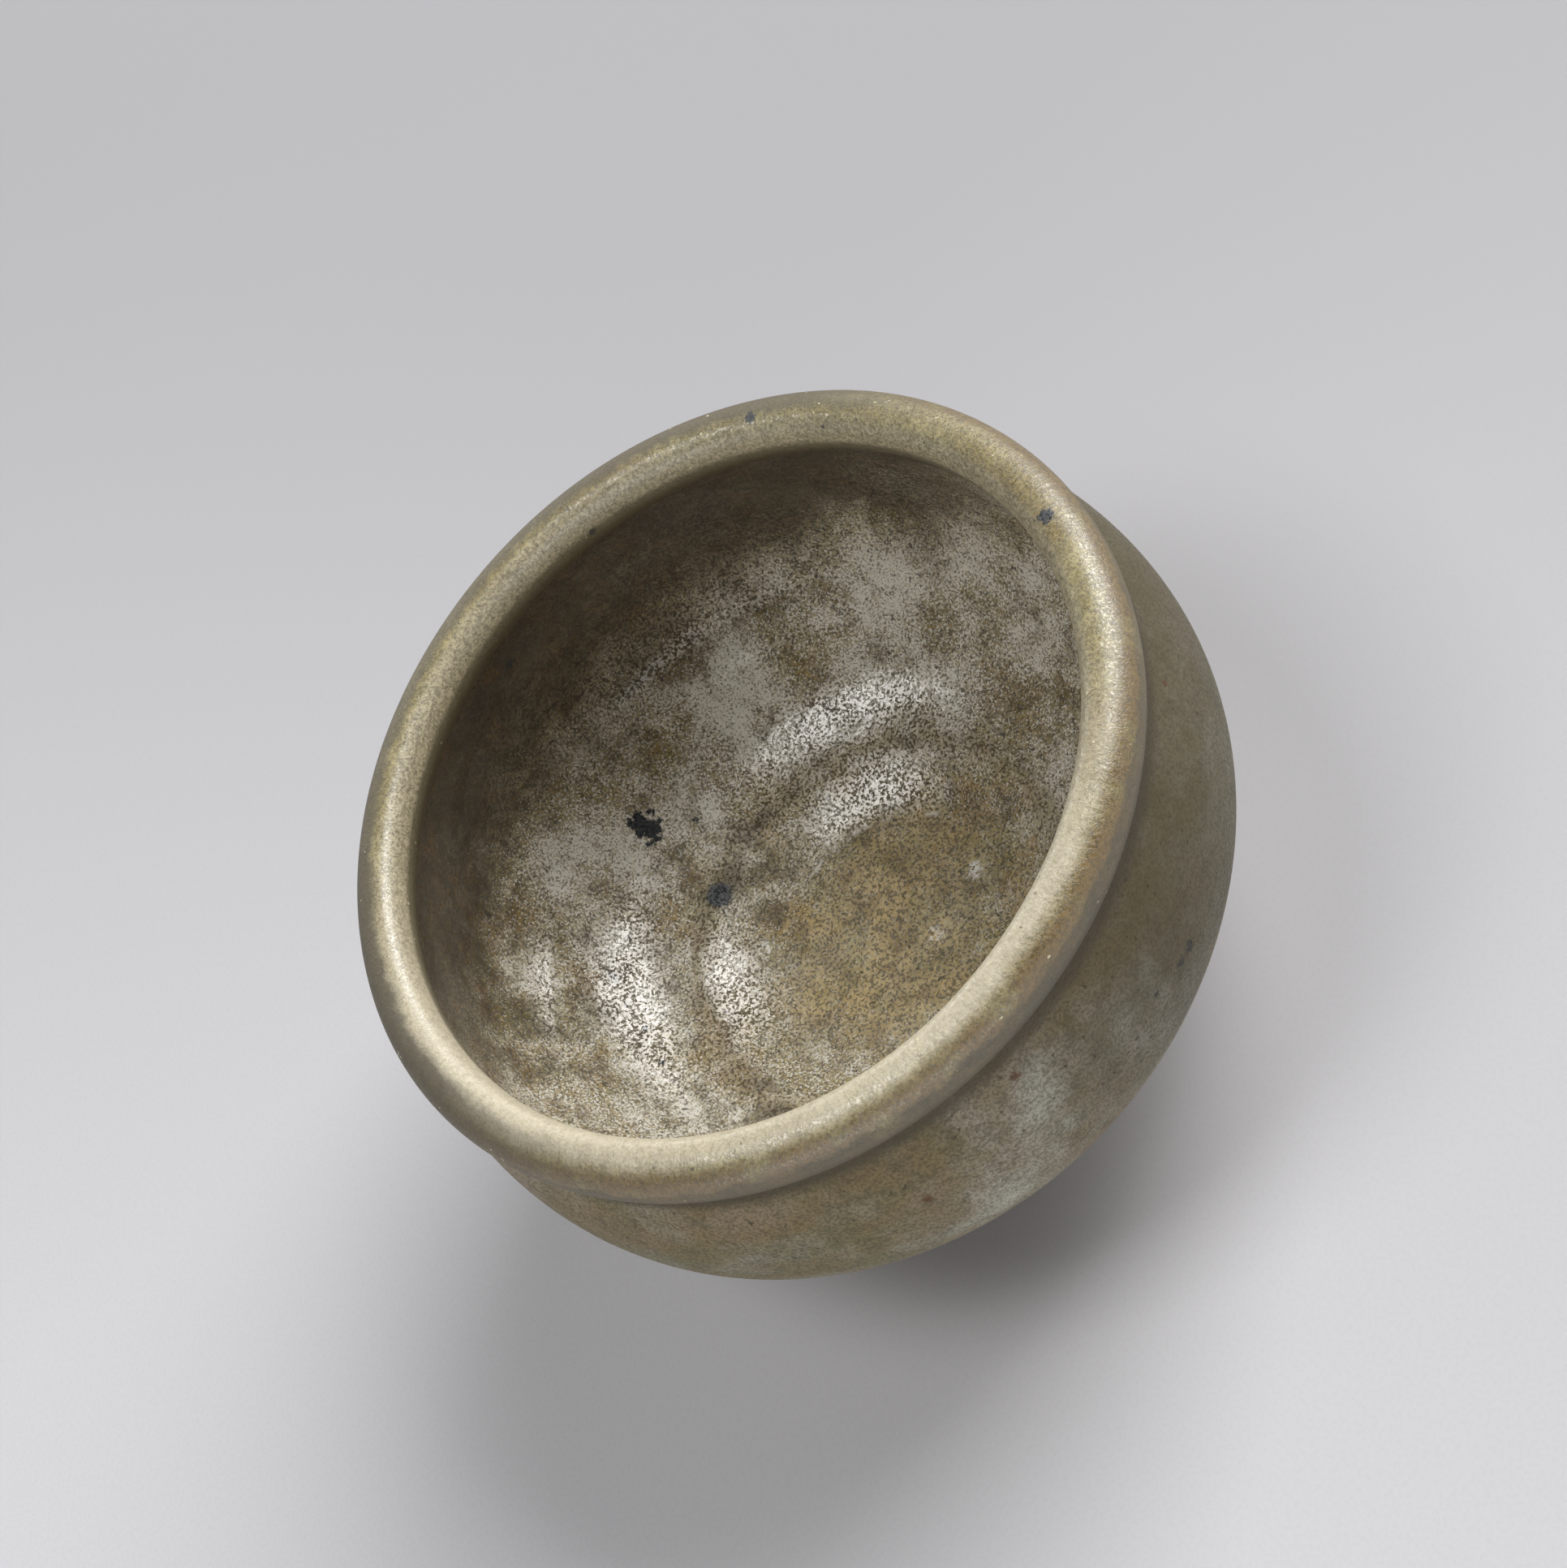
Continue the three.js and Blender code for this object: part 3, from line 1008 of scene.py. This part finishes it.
@dataclass(frozen=True)
class GlazedInside(Piece):
    """The coat inside, with the grooves that the potter's finger left and the ridges between them."""

    form: BowlForm
    mark_pitch: float = 20.0
    mark_height: float = 1.1
    mark_first: float = 10.9  # climb from the pool's edge to the first ridge
    mark_sway: float = 1.4  # how far the ridges wander off centre
    mark_side: float = math.radians(190)  # the side that they wander to
    mark_round: float = 0.12  # how blunt a ridge is
    mark_start: float = 4.0
    mark_dies: tuple[float, float] = (18.0, 42.0)  # heights between which the ridges die out
    pool_points: int = 16
    wall_points: int = 110
    wall_crowding: float = 1.35
    back_points: int = 24

    def marks(self, radius: np.ndarray, height: np.ndarray) -> np.ndarray:
        """How far the throwing marks stand proud.

        Args:
            radius: radii on the coat's face.
            height: heights on it.

        Returns:
            The height of the marks, in millimetres.
        """
        form = self.form
        climb = np.hypot(radius - form.pool_radius, height - form.pool_edge)
        start = smooth_step(radius, form.pool_radius, form.pool_radius + self.mark_start)
        end = 1 - smooth_step(height, *self.mark_dies)
        ridge = self.mark_first + self.mark_sway * np.cos(turns() - self.mark_side)
        wave = np.sin(np.pi * (climb - ridge) / self.mark_pitch)
        groove = np.hypot(wave, self.mark_round) / math.hypot(1, self.mark_round)
        return self.mark_height * start * end * (1 - groove)

    def section(self, pool: int, wall: int, inset: float) -> Section:
        """The inside from the middle of the floor up to the throat.

        Args:
            pool: how many points lie in the pool.
            wall: how many lie above it.
            inset: how far the surface lies behind the glaze's face.

        Returns:
            Radius and height.
        """
        form = self.form
        edge = form.pool_edge - inset
        share = np.linspace(0, 1, pool, endpoint=False)
        pool_radius = form.pool_radius * share
        pool_height = edge - form.pool_depth * (1 - share**form.pool_flatness)
        height = edge + (form.lip_foot - edge) * np.linspace(0, 1, wall) ** self.wall_crowding
        return np.append(pool_radius, form.cavity(height, inset)), np.append(pool_height, height)

    def build(self) -> None:
        """Makes and dresses the coat."""
        radius, height = all_round(*self.section(self.pool_points, self.wall_points, 0))
        radius, height = pressed(radius, height, self.marks(radius, height))
        radius[:, 0] = 0
        back = all_round(*self.section(self.pool_points, self.back_points, self.form.coat))
        radius = np.concatenate([back[0], radius[:, ::-1]], axis=1)
        height = np.concatenate([back[1], height[:, ::-1]], axis=1)
        piece = turned_mesh("glaze_inside", radius, height, closed=False)
        self.place(piece, InnerAshGlaze().material(self.form), Slot.INNER, "inner_glaze")


@dataclass(frozen=True)
class GlazedLip(Piece):
    """The coat over the rolled lip."""

    form: BowlForm
    face_points: int = 72
    back_points: int = 24
    wobble: float = 0.12  # the bead's crest wanders by this much, always inwards
    waves: tuple[tuple[float, int, float], ...] = ((0.3, 3, 1.0), (0.2, 7, 2.0))

    def build(self) -> None:
        """Makes and dresses the coat."""
        form = self.form
        ends = (-form.turn_under, math.pi + form.turn_under)
        radius, height = form.bead(np.linspace(*ends, self.face_points), 0)
        hold = np.sqrt(np.sin(np.linspace(0, np.pi, self.face_points)))
        radius, height = pressed(radius, height, self.wobble * (0.5 + wavering(self.waves)) * hold)
        back = form.bead(np.linspace(*ends[::-1], self.back_points), form.coat)
        radius = np.concatenate([radius, back[0]], axis=1)
        height = np.concatenate([height, back[1]], axis=1)
        piece = turned_mesh("glaze_lip", radius, height, closed=True)
        self.place(piece, LipAshGlaze().material(form), Slot.LIP, "lip_glaze")


@dataclass(frozen=True)
class GlazedOutside(Piece):
    """The coat outside, from its wavering lower edge up to the throat."""

    form: BowlForm
    waver: float = 0.7  # how far the lower edge strays from the glaze line
    waves: tuple[tuple[float, int, float], ...] = ((0.5, 2, 0.6), (0.3, 5, 2.1), (0.2, 11, 0.0))
    edge_roll: float = 1.4  # height over which that edge swells to the coat's full thickness
    underside_points: int = 60
    shoulder_points: int = 60

    def heights(self) -> np.ndarray:
        """The heights of the section's points, from the lower edge to the throat, at each step round.

        Returns:
            One row for each step round.
        """
        form = self.form
        line = form.glaze_line + self.waver * wavering(self.waves)
        lowest = np.arcsin((form.belly_height - line) / form.belly_depth)
        angle = lowest * np.linspace(1, 0, self.underside_points)
        below = form.belly_height - form.belly_depth * np.sin(angle)
        above = np.linspace(form.belly_height, form.lip_foot, self.shoulder_points + 1)[1:]
        return np.concatenate([below, above * np.ones_like(line)], axis=1)

    def build(self) -> None:
        """Makes and dresses the coat."""
        form = self.form
        height = self.heights()
        rise = np.clip((height - height[:, :1]) / self.edge_roll, 0, 1)
        inset = form.coat * (1 - np.sqrt(1 - (1 - rise) ** 2))
        radius = form.outside(height, inset)
        back = form.outside(height, form.coat)
        radius = np.concatenate([radius, back[:, ::-1]], axis=1)
        height = np.concatenate([height, height[:, ::-1]], axis=1)
        piece = turned_mesh("glaze_outside", radius, height, closed=True)
        self.place(piece, OuterAshGlaze().material(form), Slot.OUTER, "outer_glaze")


@dataclass(frozen=True)
class ClayBody(Piece):
    """The thrown wall and floor, bare below the glaze line, and the lip's clay core."""

    form: BowlForm
    button_radius: float = 6.0
    button_height: float = 1.2
    button_slope: float = 1.5  # higher hollows the sides of that low cone
    pool_points: int = 8
    line_pitch: float = 1.6  # turning lines left by the trimming tool
    line_depth: float = 0.07
    bare_points: int = 90
    covered_points: int = 24

    def build(self) -> None:
        """Makes and dresses the wall, and dresses the lip's core."""
        form = self.form
        root = form.foot_height
        flat = np.linspace(0, form.foot_outer, self.bare_points)
        cone = self.button_height * np.clip(1 - flat / self.button_radius, 0, 1) ** self.button_slope
        sweep = np.linspace(root, form.belly_height, self.bare_points)
        outward = np.maximum(form.outside(sweep, form.coat), form.foot_outer)
        shoulder = np.linspace(form.belly_height, form.lip_foot, self.covered_points)[1:]
        inside = GlazedInside(form).section(self.pool_points, self.covered_points, form.coat)
        radius = np.concatenate([flat, outward, form.outside(shoulder, form.coat), inside[0][::-1]])
        height = np.concatenate([root - cone, sweep, shoulder, inside[1][::-1]])
        radius, height = all_round(radius, height)
        bare = np.zeros(radius.shape[1])
        bare[: 2 * self.bare_points] = 1
        bare[0] = 0
        lines = self.line_depth * bare * np.sin(2 * np.pi * (radius + height) / self.line_pitch + turns())
        radius, height = pressed(radius, height, lines - self.line_depth * bare)
        radius[:, [0, -1]] = 0
        piece = turned_mesh("clay_wall", radius, height, closed=False)
        stoneware = BareStoneware().material()
        self.place(piece, stoneware, Slot.CLAY, "bowl_body")
        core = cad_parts["rolled_lip"]
        core.data.materials.clear()
        core.data.materials.append(stoneware)
        log.info("rolled_lip: clay core, dressed")


@dataclass(frozen=True)
class TurnedFoot(Piece):
    """The foot ring, with softened edges and turning lines."""

    form: BowlForm
    taper: float = 1.2
    rim_width: float = 6.0
    bevel: float = 0.9
    line_pitch: float = 1.1
    line_depth: float = 0.05
    lines_set_in: tuple[float, float] = (0.1, 0.3)  # shares of its height, from both ends
    side_points: int = 40
    bevel_points: int = 8

    def build(self) -> None:
        """Makes and dresses the foot."""
        form = self.form
        well = form.foot_outer - self.rim_width
        rest = form.foot_outer - self.taper
        turn = np.linspace(0, math.pi / 2, self.bevel_points)
        outer_bevel = (rest - self.bevel * (1 - np.sin(turn)), self.bevel * (1 - np.cos(turn)))
        inner_bevel = (well + self.bevel * (1 - np.cos(turn)), self.bevel * (1 - np.sin(turn)))
        sides = np.linspace(0, 1, self.side_points)[1:]
        climb = self.bevel + (form.foot_height - self.bevel) * sides
        outer = (rest + self.taper * sides, climb)
        inner = (np.full(len(sides), well), climb[::-1])
        parts = zip(outer_bevel, outer, inner, inner_bevel)
        radius, height = all_round(*(np.concatenate(part) for part in parts))
        away = np.minimum(height, form.foot_height - height) / form.foot_height
        lines = -self.line_depth * (1 - np.sin(2 * np.pi * height / self.line_pitch + turns()))
        radius, height = pressed(radius, height, lines * smooth_step(away, *self.lines_set_in))
        piece = turned_mesh("foot", radius, height, closed=True)
        toasted = BareStoneware(name="foot_stoneware", clay="#74573f", toasted=0.8)
        self.place(piece, toasted.material(), Slot.FOOT, "foot_ring")


@dataclass(frozen=True)
class Lamp:
    """A soft oblong lamp that faces the bowl."""

    name: str
    azimuth: float  # degrees from +X towards +Y
    elevation: float  # degrees above the table
    distance: float  # metres
    width: float  # metres
    height: float  # metres
    level: float  # share of the plain level that it gives a surface facing it

    def build(self, aim: Vector) -> None:
        """Hangs the lamp.

        Args:
            aim: the point that it faces.
        """
        around, up = math.radians(self.azimuth), math.radians(self.elevation)
        out = Vector((math.cos(around) * math.cos(up), math.sin(around) * math.cos(up), math.sin(up)))
        light = bpy.data.lights.new(self.name, "AREA")
        light.shape = "RECTANGLE"
        light.size = self.width
        light.size_y = self.height
        # At a level of 1 it lights what faces it as much as a world of strength 1 does.
        light.energy = self.level * math.pi**2 * self.distance**2
        lamp = in_scene(self.name, light)
        lamp.location = aim + out * self.distance
        lamp.rotation_mode = "QUATERNION"
        lamp.rotation_quaternion = out.to_track_quat("Z", "Y")


@dataclass(frozen=True)
class PhotoCamera:
    """The camera, placed from how the bowl lies in the photograph."""

    frame_width: float = 1931.0  # pixels
    focal: float = 3500.0  # pixels
    axis_tilt: float = math.radians(38.38)  # between the bowl's axis and the line of sight
    axis_roll: float = math.radians(-137.97)  # of the bowl's axis in the picture
    lip_middle: tuple[float, float] = (-87.93, -27.7)  # pixels right of and below the picture's centre
    distance: float = 333.33  # millimetres to the plane of the lip's crown
    sensor: float = 36.0  # millimetres

    def build(self, rim_height: float) -> None:
        """Makes the camera and hands it to the scene.

        Args:
            rim_height: of the lip's crown, in millimetres.
        """
        tilt, roll = self.axis_tilt, self.axis_roll
        axis = Vector((math.sin(tilt) * math.cos(roll), math.sin(tilt) * math.sin(roll), -math.cos(tilt)))
        across = Vector((-math.sin(roll), math.cos(roll), 0))
        rows = Matrix((across, axis.cross(across), axis))
        middle = Vector((*self.lip_middle, self.focal)) * self.distance / self.focal
        turn = Matrix((rows.col[0], -rows.col[1], -rows.col[2])).transposed()
        data = bpy.data.cameras.new("camera")
        data.sensor_width = self.sensor
        data.lens = self.focal / self.frame_width * self.sensor
        camera = in_scene("camera", data)
        place = (-(rows @ middle) + Vector((0, 0, rim_height))) * MM
        camera.matrix_world = Matrix.Translation(place) @ turn.to_4x4()
        bpy.context.scene.camera = camera
        log.info("camera at %s", [round(x, 4) for x in place])


@dataclass(frozen=True)
class Studio:
    """A pale round floor, soft lamps, an even fill and a pale backdrop low above the floor."""

    floor_radius: float = 1.7  # metres; it ends in front of the lamps, so that it's lit right to its edge
    floor_sides: int = 96
    aim_height: float = 0.03  # metres; the height of the point that the lamps face
    fill: float = 0.045
    backdrop: str = "#cfced1"
    backdrop_edge: tuple[float, float] = (20.0, 13.0)  # degrees up: where it ends and where it starts to fade
    lamps: tuple[Lamp, ...] = (
        Lamp("lamp_left", 163.0, 71.0, 2.4, 0.85, 1.15, 0.3),
        Lamp("lamp_top", 13.0, 37.0, 2.8, 1.9, 2.3, 1.2),
        Lamp("lamp_back", 89.0, 14.0, 2.8, 2.2, 1.0, 0.18),
        Lamp("lamp_front", -120.0, 17.0, 1.8, 2.6, 0.95, 0.34),
    )

    def build(self) -> None:
        """Lays the floor, hangs the lamps and sets the fill."""
        turn = np.linspace(0, 2 * np.pi, self.floor_sides, endpoint=False)
        corners = np.stack([np.cos(turn), np.sin(turn), 0 * turn], axis=1) * self.floor_radius
        mesh = bpy.data.meshes.new("floor")
        mesh.from_pydata(corners.tolist(), [], [list(range(self.floor_sides))])
        mesh.materials.append(StudioPaper().material())
        in_scene("floor", mesh)
        for lamp in self.lamps:
            lamp.build(Vector((0, 0, self.aim_height)))
        self.fill_light()
        bpy.context.scene.view_settings.view_transform = "Standard"

    def fill_light(self) -> None:
        """Sets the world: an even fill, and a pale backdrop that is seen and mirrored but lights nothing."""
        world = bpy.data.worlds.new("studio")
        world.use_nodes = True
        bpy.context.scene.world = world
        tree = world.node_tree
        tree.nodes.clear()
        ray = add_node(tree, "ShaderNodeLightPath")
        shown = ray["Is Camera Ray"]
        for kind in ("Is Glossy Ray", "Is Transmission Ray"):
            shown = add_node(tree, "ShaderNodeMath", {"operation": "MAXIMUM"}, {0: shown, 1: ray[kind]})[0]
        way = add_node(tree, "ShaderNodeTexCoord")["Generated"]
        rise = add_node(tree, "ShaderNodeSeparateXYZ", {}, {0: way})["Z"]
        fade = fading(*(math.sin(math.radians(edge)) for edge in self.backdrop_edge))
        low = add_node(tree, "ShaderNodeMapRange", fade, {"Value": rise})[0]
        share = add_node(tree, "ShaderNodeMath", {"operation": "MULTIPLY"}, {0: shown, 1: low})[0]
        fill = add_node(tree, "ShaderNodeBackground", {"Strength": self.fill})[0]
        backdrop = add_node(tree, "ShaderNodeBackground", {"Color": linear(self.backdrop)})[0]
        mix = add_node(tree, "ShaderNodeMixShader", {}, {0: share, 1: fill, 2: backdrop})[0]
        add_node(tree, "ShaderNodeOutputWorld", {}, {"Surface": mix})


def main() -> None:
    """Builds the bowl's pieces, the studio and the camera in order."""
    logging.basicConfig(level=logging.INFO, format="%(message)s")
    form = BowlForm.from_frame()
    for piece in (ClayBody(form), TurnedFoot(form), GlazedOutside(form), GlazedInside(form), GlazedLip(form)):
        piece.build()
    Studio().build()
    PhotoCamera().build(form.rim_height)


if __name__ == "__main__":
    main()
